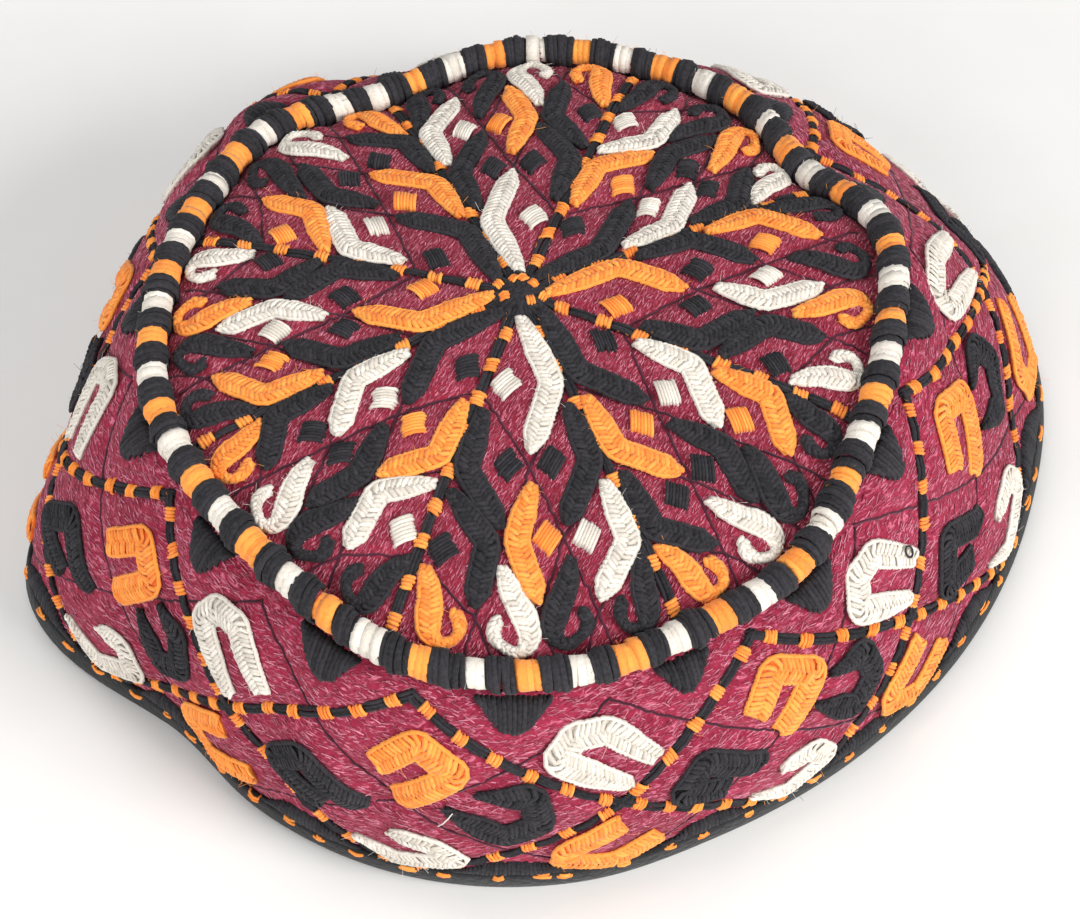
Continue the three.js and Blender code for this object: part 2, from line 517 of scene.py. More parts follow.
ORANGE = yarn_finish("orange_yarn", colour(255, 172, 78), colour(222, 88, 14))
WHITE = yarn_finish("undyed_yarn", colour(240, 233, 221), colour(174, 163, 149))
# The black's strong grain paints glints on its fibres and shade between them.
BLACK = yarn_finish("black_yarn", colour(54, 52, 56), colour(2, 2, 3), 0.05, 1.2)
DARK = yarn_finish("quilting_thread", colour(80, 30, 48), colour(36, 14, 24))
# The band's burgundy is set lighter than the crown's, partly as painted light for the brighter light that
# falls on the band's sides.
CROWN_GROUND = ground_finish(
    "crown_ground", colour(170, 42, 68), colour(86, 13, 26), colour(214, 112, 134),
    WEAVE_TURN, (1 / 750, 1 / 2600, 1 / 1500),
)
BAND_GROUND = ground_finish(
    "band_ground", colour(182, 48, 80), colour(96, 15, 34), colour(228, 130, 156),
    0.0, (1 / 700, 1 / 700, 1 / 2400),
)
FLECKS = fleck_finish("burgundy_strokes", colour(230, 150, 170), colour(150, 40, 66))
HEM = binding_finish("black_binding", colour(54, 55, 56), colour(18, 18, 20))


def deselect():
    """Leaves nothing selected, so that an operator acts on the new piece alone."""
    for thing in bpy.context.selected_objects:
        thing.select_set(False)


def enlist(piece, material, replaces=None):
    """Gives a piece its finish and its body."""
    piece.data.materials.clear()
    piece.data.materials.append(material)
    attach(piece, "root")
    if replaces:
        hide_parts(replaces)
    return piece


# Points of a grid nearer than this, in metres, are one point
MERGE_DISTANCE = 2e-5


def shaped_grid(name, columns, rows, shape):
    """A grid bent round the cap: shape takes angles and shares and gives points, and the seam is merged."""
    deselect()
    bpy.ops.mesh.primitive_grid_add(x_subdivisions=columns, y_subdivisions=rows, size=2)
    piece = bpy.context.active_object
    piece.name = name
    flat = np.empty(3 * len(piece.data.vertices))
    piece.data.vertices.foreach_get("co", flat)
    flat = flat.reshape(-1, 3)
    points = shape((flat[:, 0] + 1) / 2 * FULL_TURN, (flat[:, 1] + 1) / 2)
    piece.data.vertices.foreach_set("co", (points * MM).ravel())
    bpy.ops.object.mode_set(mode="EDIT")
    bpy.ops.mesh.select_all(action="SELECT")
    bpy.ops.mesh.remove_doubles(threshold=MERGE_DISTANCE)
    bpy.ops.mesh.normals_make_consistent(inside=False)
    bpy.ops.object.mode_set(mode="OBJECT")
    bpy.ops.object.shade_smooth()
    return piece


def facing_up(piece, cloth):
    """Turns the faces of an open cloth to its outside."""
    piece.data.update()
    face = piece.data.polygons[len(piece.data.polygons) // 2]
    middle = np.array(face.center) / MM
    angle = np.degrees(np.arctan2(middle[1] - AXIS[1], middle[0] - AXIS[0]))
    outward = cloth.normal(np.array([angle]), np.array([0.5]))[0]
    if np.dot(np.array(face.normal), outward) < 0:
        bpy.ops.object.mode_set(mode="EDIT")
        bpy.ops.mesh.select_all(action="SELECT")
        bpy.ops.mesh.flip_normals()
        bpy.ops.object.mode_set(mode="OBJECT")


def thicken(piece):
    """Gives a cloth its wall, inward."""
    wall = piece.modifiers.new("cloth_wall", "SOLIDIFY")
    wall.thickness = CLOTH_WALL * MM
    wall.offset = -1
    bpy.context.view_layer.objects.active = piece
    bpy.ops.object.modifier_apply(modifier=wall.name)
    bpy.ops.object.shade_smooth()


# A line on a cloth: chart places in each leg, and the step between its points
LEG_PLACES = 24
LINE_STEP = 0.25


class Line:
    """A line laid on a cloth, with its length, its direction, its left side and the cloth's facing."""

    def __init__(self, cloth, path):
        path = np.asarray(path, float)
        spread = np.linspace(0, len(path) - 1, LEG_PLACES * (len(path) - 1) + 1)
        points, normals = cloth.lay(between(spread, np.arange(len(path)), path))
        run = np.concatenate(([0], np.cumsum(np.linalg.norm(np.diff(points, axis=0), axis=1))))
        self.length = run[-1]
        self.run = np.linspace(0, self.length, max(int(self.length / LINE_STEP), 4) + 1)
        self.points = between(self.run, run, points)
        self.normals = unit(between(self.run, run, normals))
        self.tangents = unit(np.gradient(self.points, axis=0))
        self.sides = unit(np.cross(self.normals, self.tangents))

    def read(self, table, along):
        """One of the line's tables, so far along it."""
        return between(along, self.run, table)

    def spot(self, along, across, lift):
        """Points so far along the line, to its left and off the cloth."""
        along, across, lift = np.broadcast_arrays(along, across, lift)
        past = along - np.clip(along, 0, self.length)
        spot = self.read(self.points, along) + unit(self.read(self.tangents, along)) * past[..., None]
        spot = spot + unit(self.read(self.sides, along)) * across[..., None]
        return spot + self.facing(along) * lift[..., None]

    def facing(self, along):
        """Which way the cloth faces, so far along the line."""
        return unit(self.read(self.normals, along))


def rounded(path, rounds=2):
    """The path with its corners cut, its ends kept."""
    path = np.asarray(path, float)
    for _ in range(rounds):
        near = 0.75 * path[:-1] + 0.25 * path[1:]
        far = 0.25 * path[:-1] + 0.75 * path[1:]
        cut = np.stack((near, far), axis=1).reshape(-1, path.shape[1])
        path = np.concatenate((path[:1], cut[1:-1], path[-1:]))
    return path


def cornered(path, ease):
    """The path with each corner rounded over a share of its two arms."""
    path = np.asarray(path, float)
    eased = [path[0]]
    for before, corner, after in zip(path[:-2], path[1:-1], path[2:]):
        eased += [corner + ease * (before - corner), corner, corner + ease * (after - corner)]
    return rounded(np.array([*eased, path[-1]]))


class Stitches:
    """Many short threads that become one mesh."""

    def __init__(self, name, material, slot):
        self.name = name
        self.material = material
        self.slot = slot
        self.batches = []

    def add(self, centres, ups, half_width, half_height, sides=5, tint=None):
        """Threads along their centre points, each ring as wide and high as told."""
        count, rings = centres.shape[:2]
        along = unit(np.gradient(centres, axis=1))
        side = unit(np.cross(ups, along))
        up = unit(np.cross(along, side))
        half_width, half_height = np.broadcast_arrays(half_width, half_height, centres[..., 0])[:2]
        turn = 2 * np.pi * np.arange(sides) / sides
        verts = centres[:, :, None] + side[:, :, None] * (half_width[..., None] * np.cos(turn))[..., None]
        verts = verts + up[:, :, None] * (half_height[..., None] * np.sin(turn))[..., None]
        if tint is None:
            tint = chance.random(count)
        self.batches.append((verts.reshape(-1, 3), count, rings, sides, tint))

    def make(self):
        """The joined mesh, every thread closed at both ends."""
        verts, loops, sizes, tints = [], [], [], []
        start = 0
        for points, count, rings, sides, tint in self.batches:
            ring = np.arange(sides)
            ahead = (ring + 1) % sides
            lower = (np.arange(rings - 1) * sides)[:, None]
            upper = lower + sides
            quads = np.stack((lower + ring, lower + ahead, upper + ahead, upper + ring), axis=-1).reshape(-1)
            caps = np.concatenate((ring[::-1], (rings - 1) * sides + ring))
            one = np.concatenate((quads, caps))
            each = rings * sides
            loops.append((start + np.arange(count)[:, None] * each + one).ravel())
            sizes.append(np.tile(np.concatenate((np.full(len(quads) // 4, 4), np.full(2, sides))), count))
            tints.append(np.repeat(tint, each))
            verts.append(points)
            start += count * each
        mesh = bpy.data.meshes.new(self.name)
        verts = np.concatenate(verts) * MM
        loops = np.concatenate(loops)
        sizes = np.concatenate(sizes)
        mesh.vertices.add(len(verts))
        mesh.vertices.foreach_set("co", verts.ravel())
        mesh.loops.add(len(loops))
        mesh.loops.foreach_set("vertex_index", loops.astype(np.int32))
        mesh.polygons.add(len(sizes))
        mesh.polygons.foreach_set("loop_start", (np.cumsum(sizes) - sizes).astype(np.int32))
        mesh.polygons.foreach_set("loop_total", sizes.astype(np.int32))
        mesh.polygons.foreach_set("use_smooth", np.ones(len(sizes), bool))
        mesh.update(calc_edges=True)
        mesh.attributes.new("tint", "FLOAT", "POINT").data.foreach_set("value", np.concatenate(tints))
        piece = bpy.data.objects.new(self.name, mesh)
        bpy.context.collection.objects.link(piece)
        return enlist(piece, self.material)


# Thread pitches, and the widths of the dotted lines and of their ticks
CROWN_PITCH = 0.86
BAND_PITCH = 0.8
LINE_WIDTH = 1.7
TICK_WIDTH = 1.9
SPOKE_TICKS = 7.0
BAND_TICKS = 6.3

YARNS = {"orange": ORANGE, "white": WHITE, "black": BLACK}
crown_yarn = {name: Stitches(f"crown_{name}_stitches", yarn, "wound_yarn") for name, yarn in YARNS.items()}
band_yarn = {name: Stitches(f"band_{name}_stitches", yarn, "wound_yarn") for name, yarn in YARNS.items()}
covered = []


def cover(line, half_widths):
    """Remembers where a motif lies, so that no ground stroke is sewn there."""
    covered.extend(zip(line.points[::3], np.broadcast_to(half_widths, line.run.shape)[::3]))


def core(yarn, line, half_widths, lift, thickness):
    """The padding under a motif, which shows only in the small hollows between its threads; its dark tint is
    painted shade in those hollows.
    """
    along = np.linspace(0, line.length, max(int(line.length / 1.2), 3) + 1)
    centres = line.spot(along, 0.0, lift)[None]
    half = np.interp(along, line.run, half_widths)[None]
    # A tint of -0.6 takes the padding to the yarn's deep colour: painted shade for the hollows.
    yarn.add(centres, line.facing(along)[None], half, thickness, 8, np.array([-0.6]))


def jitter(shape, size):
    """Small uneven steps, as a hand makes them."""
    return chance.normal(0, size, shape)


def plait(yarn, line, half_widths, pitch, height=0.95):
    """Two rows of slanting threads that meet along the middle, held by a cord on each side."""
    core(yarn, line, 0.9 * half_widths, 0.1, 0.72 * height)
    cover(line, half_widths)
    fuzz(yarn, line, half_widths, height)
    count = max(int(line.length / pitch), 3)
    rise = np.array((0.3, 0.78, 0.98, 0.8)) * height
    lead = np.array((-0.6, -0.2, 0.35, 0.75)) * pitch
    for hand in (1, -1):
        along = (np.arange(count) + 0.5 + 0.25 * hand) * line.length / count + jitter(count, 0.06)
        inner = np.maximum(np.interp(along, line.run, half_widths) - 0.25, 0.25)[:, None]
        places = along[:, None] + lead + jitter((count, 4), 0.05)
        reach = hand * np.array((1.0, 0.7, 0.3, -0.12))
        centres = line.spot(places, inner * reach, rise + jitter((count, 1), 0.05))
        yarn.add(centres, line.facing(places), np.array((0.48, 0.6, 0.58, 0.43)) * pitch, 0.25, 4)
    border(yarn, line, half_widths, pitch, height)


def fuzz(yarn, line, half_widths, height, per_mm=1.3):
    """Loose fibres that stand out of the threads along both edges of a motif."""
    count = int(line.length * per_mm)
    along = line.length * chance.random(count)
    hand = np.where(chance.random(count) < 0.5, 1, -1)
    across = hand * np.interp(along, line.run, half_widths) * (0.4 + 0.6 * chance.random(count))
    up = line.facing(along)
    outward = unit(line.read(line.sides, along)) * (hand * (0.2 + chance.random(count)))[:, None]
    sweep = unit(line.read(line.tangents, along)) * jitter((count, 1), 0.8)
    way = unit(outward + sweep + up * (0.1 + 0.6 * chance.random((count, 1))))
    fibres(yarn, line.spot(along, across, 0.8 * height), way, up)


def fibres(yarn, start, way, up):
    """Fine curved hairs from these points."""
    count = len(start)
    length = (0.35 + 1.0 * chance.random(count) ** 2)[:, None, None]
    reach = np.array((0.0, 0.5, 1.0))[None, :, None] * length
    curl = jitter((count, 1, 3), 0.5)
    centres = start[:, None] + way[:, None] * reach + curl * reach**2
    yarn.add(centres, np.repeat(up[:, None], 3, axis=1), 0.03, 0.03, 3, 0.6 + 0.5 * chance.random(count))


def border(yarn, line, half_widths, pitch, height):
    """The cord that runs round a motif, with a small bump at each thread that it holds."""
    forward = np.arange(0.35, line.length - 0.2, 0.5 * pitch)
    turn = np.linspace(0.75, -0.75, 3)
    far = np.full(3, line.length - 0.3)
    near = np.full(3, 0.3)
    along = np.concatenate((forward, far, forward[::-1], near, forward[:1]))
    hand = np.concatenate((np.ones(len(forward)), turn, -np.ones(len(forward)), -turn, np.ones(1)))
    beat = np.where(np.arange(len(along)) % 2 == 0, 1.12, 0.9)
    half = np.maximum(np.interp(along, line.run, half_widths) - 0.4, 0.25)
    across = hand * (half + jitter(len(along), 0.05))
    lift = 0.42 * height + jitter(len(along), 0.04)
    centres = line.spot(along, across, lift)[None]
    yarn.add(centres, line.facing(along)[None], 0.46 * beat, 0.44 * beat, 4, 0.5 + 0.3 * chance.random(1))


def patch(yarn, cloth, corners, strands, height=0.75):
    """A small block of threads side by side between two opposite edges."""
    first, second, third, fourth = np.asarray(corners, float)
    share = (np.arange(strands) + 0.5)[:, None] / strands
    one_end = first + (second - first) * share
    other_end = fourth + (third - fourth) * share
    steps = np.array((-0.02, 0.1, 0.5, 0.9, 1.02))[None, :, None]
    steps = steps + jitter((strands, 1, 1), 0.03)
    paths = one_end[:, None] + (other_end - one_end)[:, None] * steps
    lift = np.array((-0.25, 0.7, 1.0, 0.7, -0.25)) * height
    points, normals = cloth.lay(paths, np.broadcast_to(lift, paths.shape[:2]))
    across = np.linalg.norm(points[-1, 2] - points[0, 2]) / max(strands - 1, 1)
    yarn.add(points, normals, 0.58 * across, 0.34, 6)
    middle = points[:, 2].mean(axis=0)
    covered.append((middle, 0.5 * np.linalg.norm(points[:, 0] - points[:, -1], axis=1).mean()))


def pad(yarn, cloth, top, point, height=0.85):
    """A three-cornered block of upright threads between a straight edge and a point, in chart places."""
    top = np.asarray(top, float)
    point = np.asarray(point, float)
    ends, _ = cloth.lay(top)
    strands = max(int(np.linalg.norm(ends[1] - ends[0]) / BAND_PITCH), 3)
    share = (np.arange(strands) + 0.5) / strands
    near = top[0] + (top[1] - top[0]) * share[:, None]
    away = point[1] - top[0, 1]
    depth = away * (1 - 0.9 * np.abs(2 * share - 1) ** 2)
    far = near + np.stack((0.2 * (point[0] - near[:, 0]), depth), axis=-1)
    steps = np.array((-0.03, 0.12, 0.5, 0.88, 1.03))[None, :, None] + jitter((strands, 1, 1), 0.02)
    paths = near[:, None] + (far - near)[:, None] * steps
    lift = np.array((-0.25, 0.75, 1.0, 0.75, -0.25)) * height + jitter((strands, 1), 0.04)
    points, normals = cloth.lay(paths, lift)
    yarn.add(points, normals, 0.62 * BAND_PITCH, 0.36, 6)
    for row in points[::2]:
        covered.extend((point, 1.0) for point in row)


def dotted_line(yarn, cloth, path, pitch):
    """Short blocks of black thread along a line, with an orange tick between each two."""
    line = Line(cloth, path)
    cover(line, 1.2)
    fuzz(yarn["orange"], line, np.full(line.run.shape, 0.9), 0.7, 0.3)
    fuzz(yarn["black"], line, np.full(line.run.shape, 0.9), 0.6, 0.5)
    count = max(int(round(line.length / pitch)), 1)
    ticks = (np.arange(count) + 0.5) * line.length / count + jitter(count, 0.3)
    ends = np.concatenate(([-0.2 * pitch], ticks, [line.length + 0.2 * pitch]))
    share = np.array((0.1, 0.28, 0.5, 0.72, 0.9))
    rows = np.array((-0.3, 0.0, 0.3))[:, None] * LINE_WIDTH
    along = (ends[:-1, None] + np.diff(ends)[:, None] * share)[:, None]
    along = along + jitter((count + 1, 3, 1), 0.16)
    across = rows + jitter((count + 1, 3, 1), 0.1)
    lift = np.array((0.1, 0.5, 0.68, 0.5, 0.1)) + jitter((count + 1, 3, 1), 0.08)
    along, across, lift = (table.reshape(-1, 5) for table in np.broadcast_arrays(along, across, lift))
    yarn["black"].add(line.spot(along, across, lift), line.facing(along), 0.22 * LINE_WIDTH, 0.38, 4)
    long = 0.36 * pitch
    strands = (np.arange(4) - 1.5)[:, None] / 4 * long
    reach = np.array((1.0, 0.86, 0.0, -0.86, -1.0)) * TICK_WIDTH / 2
    spread = 1 + jitter((count, 4, 1), 0.13)
    twist = jitter((count, 1, 1), 0.16)
    along = ticks[:, None, None] + strands + twist * reach + jitter((count, 4, 5), 0.05)
    across = reach * spread + jitter((count, 1, 1), 0.15)
    lift = np.array((-0.3, 0.65, 0.9, 0.65, -0.3)) + jitter((count, 4, 1), 0.06)
    along, across, lift = (table.reshape(-1, 5) for table in np.broadcast_arrays(along, across, lift))
    yarn["orange"].add(line.spot(along, across, lift), line.facing(along), 0.145 * long, 0.32, 4)


# Crown motifs: the kind of each sector and its two bright colours
CHEVRON = ((0.11, 0.15), (0.81, 0.20), (0.92, 0.91))
SQUARE = (0.285, 0.715)
SQUARE_HALF = 2.35
SQUARE_STRETCH = 1.25
SQUARE_THREADS = 7
CHEVRON_WIDTH = ((0.0, 0.85), (0.1, 1.5), (0.28, 2.15), (0.88, 2.15), (1.0, 0.8))
FAN_ROWS = {
    "bright_start": (("P",), ("K", "K"), ("K", "Q", "P")),
    "black_start": (("K",), ("P", "Q"), ("K", "K", "P")),
}
FAN_BENDS = {
    "bright_start": (("high",), ("low", "high"), ("high", "low", "high")),
    "black_start": (("low",), ("low", "high"), ("low", "high", "low")),
}
# Sector by its low spoke: kind, the colours P and Q, and the hooks in turn
SECTORS = (
    ("black_start", "white", "orange", "PQKK"),
    ("bright_start", "white", "orange", "QPKK"),
    ("black_start", "orange", "white", "PQKK"),
    ("bright_start", "orange", "white", "QPKK"),
    ("black_start", "white", "orange", "QPKK"),
    ("bright_start", "white", "orange", "QPKK"),
    ("black_start", "orange", "white", "PQKK"),
    ("bright_start", "orange", "white", "QPKK"),
)
# One chevron that bends against the rule: sector, row, place
ODD_BEND = (6, 2, 2)
# Hooks: place across the sector, distance of the tip from the middle, side of the curl
HOOKS = ((0.044, 0.775, 1), (0.353, 0.74, -1), (0.66, 0.73, 1), (0.977, 0.775, -1))
INNER_HOOK = ((0, 0), (-1.7, 4.6), (-4.1, 7.9), (-5.1, 10.8), (-3.3, 12.9), (-0.1, 11.6), (0.9, 10), (0, 8.2))
EDGE_HOOK = ((0, 0), (2.4, 4.4), (3.1, 8.9), (4.8, 10.2), (7.3, 9.4), (7.9, 7.2), (6.3, 5.2))
HOOK_WIDTH = (
    (0.0, 0.85), (0.15, 1.75), (0.38, 2.2), (0.52, 1.95), (0.66, 0.95), (0.8, 0.8), (0.88, 1.15), (1.0, 1.1),
)


def along_width(line, table):
    """Half widths along a line from pairs of share and half width."""
    shares, widths = np.array(table).T
    return np.interp(line.run / line.length, shares, widths)


def sew_fan(sector, kind, colours):
    """The chevrons and squares between two spokes."""
    for row, (letters, bends) in enumerate(zip(FAN_ROWS[kind], FAN_BENDS[kind])):
        for place, (letter, bend) in enumerate(zip(letters, bends)):
            cell = (row - place, place)
            low = (bend == "low") != ((sector, row, place) == ODD_BEND)
            mirror = (lambda spot: spot) if low else (lambda spot: spot[::-1])
            path = [cell_point(sector, cell, mirror(spot)) for spot in CHEVRON]
            line = Line(crown, cornered(path, 0.22))
            plait(crown_yarn[colours[letter]], line, along_width(line, CHEVRON_WIDTH), CROWN_PITCH)
            middle = cell_point(sector, cell, mirror(SQUARE))
            long = SQUARE_HALF / MEAN_EDGE * SQUARE_STRETCH * unit(middle)
            wide = SQUARE_HALF / MEAN_EDGE * aside(unit(middle))
            corners = [middle + way for way in (-long, wide, long, -wide)]
            patch(crown_yarn[colours[letter]], crown, corners, SQUARE_THREADS)


def sew_hooks(sector, hooks, colours):
    """The curled hooks along the roll."""
    low = SPOKES[sector]
    wide = (SPOKES[(sector + 1) % len(SPOKES)] - low) % FULL_TURN
    for number, ((share, tip, curl), letter) in enumerate(zip(HOOKS, hooks)):
        outward = compass(low + share * wide)
        sideways = aside(outward) * curl
        shape = EDGE_HOOK if number in (0, 3) else INNER_HOOK
        path = [tip * outward + (across * sideways + out * outward) / MEAN_EDGE for across, out in shape]
        line = Line(crown, rounded(path))
        plait(crown_yarn[colours[letter]], line, along_width(line, HOOK_WIDTH), CROWN_PITCH, 0.9)


for sector, (kind, p_colour, q_colour, hooks) in enumerate(SECTORS):
    letters = {"K": "black", "P": p_colour, "Q": q_colour}
    sew_fan(sector, kind, letters)
    sew_hooks(sector, hooks, letters)
for path in spoke_lines():
    dotted_line(crown_yarn, crown, path, SPOKE_TICKS)
# The middle, where the spokes meet: crossed black threads, and orange ticks by angle and distance
ROSETTE_REACH = 5.4
ROSETTE_TICK = 0.75
ROSETTE = ((138, 4.2), (93, 3.3), (65, 3.0), (25, 3.0), (184, 2.8), (302, 2.5), (334, 4.2))
for angle in range(0, 180, 30):
    way = ROSETTE_REACH / MEAN_EDGE * compass(angle)
    across = 0.22 * aside(way)
    patch(crown_yarn["black"], crown, (-way - across, -way + across, way + across, way - across), 3, 0.7)
for angle, distance in ROSETTE:
    middle = distance / MEAN_EDGE * compass(angle)
    way = ROSETTE_TICK / MEAN_EDGE * unit(jitter(2, 1.0))
    across = aside(way)
    corners = [middle + a * way + b * across for a, b in ((-1, -1), (-1, 1), (1, 1), (1, -1))]
    patch(crown_yarn["orange"], crown, corners, 3, 1.1)

# Band motifs: middle of the small diamond, colour, how the ends are, and the path in shares along
# the diamond's upper right and upper left sides
BAND_MOTIFS = (
    (0.0, -0.5, "orange", "blunt", ((0.50, 0.82), (0.39, 0.29), (0.81, 0.29), (0.95, 0.96))),
    (-0.5, 0.0, "black", "blunt", ((0.90, 0.66), (0.47, 0.83), (0.37, 0.39), (1.02, 0.36))),
    (0.5, 0.0, "black", "pointed", ((0.08, 0.38), (0.32, 0.16), (0.64, 0.40), (0.63, 0.72), (0.12, 0.66))),
    (0.0, 0.5, "white", "crescent", ((0.34, 0.84), (0.76, 0.79), (0.84, 0.35), (0.54, 0.23), (0.34, 0.42))),
    (1.0, -0.5, "white", "tapered", ((0.84, 0.43), (0.21, 0.28), (0.03, 0.48), (0.14, 0.74), (0.84, 0.78))),
    (1.0, 0.5, "orange", "blunt", ((0.22, 0.22), (0.18, 0.74), (0.47, 0.97), (0.69, 0.83), (0.74, 0.36))),
)
U_WIDTHS = {
    "blunt": ((0.0, 2.4), (0.05, 2.6), (0.5, 2.6), (0.95, 2.6), (1.0, 2.4)),
    "pointed": ((0.0, 0.5), (0.2, 2.4), (0.5, 2.6), (0.8, 2.5), (1.0, 0.5)),
    "crescent": ((0.0, 0.5), (0.25, 2.1), (0.5, 2.4), (0.7, 2.5), (0.92, 2.1), (1.0, 0.6)),
    "tapered": ((0.0, 1.7), (0.2, 2.4), (0.5, 2.6), (0.8, 2.4), (1.0, 1.4)),
}


def diamond_point(middle, shares):
    """A band chart point from its shares of a small diamond."""
    right, left = shares
    return np.array((middle[0] + 0.5 * (right - left), middle[1] - 0.5 + 0.5 * (right + left)))


for node in range(0, len(BAND_NODES), 2):
    for x, y, yarn, ends, shape in BAND_MOTIFS:
        spots = [np.array(spot) + jitter(2, 0.02) for spot in shape]
        path = [diamond_point((node + x, y), spot) for spot in spots]
        line = Line(band, cornered(path, 0.28))
        plait(band_yarn[yarn], line, along_width(line, U_WIDTHS[ends]), BAND_PITCH, 1.0)
    for x in (-0.5, 0.5):
        pad(band_yarn["black"], band, [(node + x - 0.2, -1.12), (node + x + 0.2, -1.12)], (node + x, -0.82))
        pad(band_yarn["black"], band, [(node + x - 0.3, 0.92), (node + x + 0.3, 0.92)], (node + x, 0.66), 0.6)
    for lean in (-1, 1):
        dotted_line(band_yarn, band, [(node, -1.02), (node + lean, 0.0)], BAND_TICKS)
        dotted_line(band_yarn, band, [(node + lean, 0.0), (node, 0.98)], BAND_TICKS)

# A loose end of pale thread, and a small dark eyelet on one white motif
LOOSE_END = ((10.18, 0.08), (10.21, 0.0), (10.24, -0.1))
EYELET = (13.16, -0.49)
EYELET_RADII = (0.75, 1.1)
loose = Line(band, LOOSE_END)
along = np.linspace(0, loose.length, 4)
band_yarn["white"].add(loose.spot(along, 0.0, 1.2)[None], loose.facing(along)[None], 0.11, 0.11, 5)
spot, facing = band.lay(EYELET, 1.32)
around = unit(np.cross((0.0, 0.0, 1.0), facing))
upward = np.cross(facing, around)
turn = np.linspace(0, 2 * np.pi, 17)[:, None]
ring = spot + EYELET_RADII[0] * np.cos(turn) * around + EYELET_RADII[1] * np.sin(turn) * upward
band_yarn["black"].add(ring[None], np.repeat(facing[None], 17, axis=0)[None], 0.2, 0.16, 5)

for stitches in (*crown_yarn.values(), *band_yarn.values()):
    stitches.make()

# Thin dark thread along the sewn lines
quilting = Stitches("quilting_lines", DARK, "crown_cloth")


def sew_line(cloth, path):
    """One dark thread along a path, uneven as running stitches are."""
    line = Line(cloth, path)
    cover(line, 0.5)
    along = np.arange(0, line.length + 0.5, 1.0)
    centres = line.spot(along, jitter(len(along), 0.12), 0.04 + jitter(len(along), 0.05))[None]
    quilting.add(centres, line.facing(along)[None], 0.26, 0.22, 5)


for path in quilting_lines():
    inside = path[np.hypot(path[:, 0], path[:, 1]) < 1.2]
    spread = np.linspace(0, len(inside) - 1, 40)
    dense = between(spread, np.arange(len(inside)), inside)
    dense = dense[np.hypot(dense[:, 0], dense[:, 1]) < 0.965]
    if len(dense) > 2:
        sew_line(crown, dense)
for node in range(0, len(BAND_NODES), 2):
    for lean in (-1, 1):
        sew_line(band, [(node, 0.0), (node + lean, -1.0)])
        sew_line(band, [(node, 0.0), (node + 0.9 * lean, 0.9)])
quilting.make()

# Cloth shells
crown_cloth = shaped_grid("crown_cloth", 300, 44, crown.place)
facing_up(crown_cloth, crown)
thicken(crown_cloth)
enlist(crown_cloth, CROWN_GROUND, "crown")

band_cloth = shaped_grid("band_cloth", 400, 38, lambda a, s: band.place(a, s * BAND_REACH))
facing_up(band_cloth, band)
thicken(band_cloth)
enlist(band_cloth, BAND_GROUND, "side_band")

# Wound roll: blocks of yarn counted clockwise from the front
BLOCKS = 51
FIRST_BLOCK = 256.2
BLOCK_STEP = FULL_TURN / BLOCKS
COLOUR_SHARE = 0.47


def roll_axis(angles):
    """Middle of the roll, and the level direction outward."""
    roll_radius, roll_height, _, _ = sections_at(angles)
    return turned(angles, roll_radius, roll_height), outward_at(angles)


def roll_point(angles, turns, radius):
    """A point on the roll, turned so far from its outer side up and over."""
    middle, outward = roll_axis(angles)
    upward = np.array((0.0, 0.0, 1.0))
    turn = np.radians(turns)[..., None]
    return middle + radius * (outward * np.cos(turn) + upward * np.sin(turn))


roll_core = shaped_grid("roll_core", 288, 12, lambda a, s: roll_point(a, s * FULL_TURN, ROLL_RADIUS - 0.65))
enlist(roll_core, CROWN_GROUND, "crown_roll")

roll_yarn = {name: Stitches(f"roll_{name}_windings", yarn, "wound_yarn") for name, yarn in YARNS.items()}
WRAP_TURNS = np.linspace(-75, 235, 10)
bright_share = COLOUR_SHARE + jitter(BLOCKS, 0.07)


def wind(name, start, end, pitch, bulge):
    """Turns of yarn round the roll between two angles, standing out in the middle of the block."""
    count = max(int(round((end - start) / pitch)), 2)
    share = (np.arange(count) + 0.5) / count
    slant = np.linspace(0.45, -0.45, len(WRAP_TURNS)) * (1 + jitter((count, 1), 0.6))
    places = (start + (end - start) * share)[:, None] + slant + jitter((count, 1), 0.08)
    places = places + np.cumsum(jitter((count, len(WRAP_TURNS)), 0.03), axis=1)
    radius = ROLL_RADIUS - 0.5 + bulge * np.sin(np.pi * share)[:, None, None] + jitter((count, 1, 1), 0.16)
    centres = roll_point(places, np.broadcast_to(WRAP_TURNS, places.shape), radius)
    middle, _ = roll_axis(places)
    half = 0.9 * np.radians((end - start) / count) * MEAN_EDGE
    roll_yarn[name].add(centres, unit(centres - middle), half, 0.36, 5, 0.2 + 0.7 * chance.random(count))
    hairs = 2 * count
    spots = start + (end - start) * chance.random(hairs)
    turns = 10 + 160 * chance.random(hairs)
    surface = roll_point(spots, turns, ROLL_RADIUS - 0.3)
    up = unit(surface - roll_axis(spots)[0])
    fibres(roll_yarn[name], surface, unit(0.5 * up + jitter((hairs, 3), 0.6)), up)


for number in range(BLOCKS):
    middle = FIRST_BLOCK - number * BLOCK_STEP
    half_bright = bright_share[number] / 2 * BLOCK_STEP
    next_bright = bright_share[(number + 1) % BLOCKS] / 2 * BLOCK_STEP
    even = number % 2 == 0
    orange = even if number <= 21 else not even and number != 22
    wind("orange" if orange else "white", middle - half_bright, middle + half_bright, 1.1, 0.0)
    wind("black", middle - BLOCK_STEP + next_bright, middle - half_bright, 0.62, 0.5)
for windings in roll_yarn.values():
    windings.make()

# Hem binding: rounded section as inset from the rim's outer face and height
HEM_SECTION = np.array((
    (1.0, 6.0), (0.55, 6.25), (0.15, 5.9), (0.0, 5.0), (-0.1, 3.4), (0.0, 1.7), (0.3, 0.6), (1.0, 0.1),
    (2.3, 0.0), (3.6, 0.1), (4.3, 0.6), (4.6, 1.7), (4.6, 5.0), (4.45, 5.9), (4.05, 6.25), (3.5, 6.0),
    (3.5, 1.0), (1.0, 1.0), (1.0, 6.0),
))


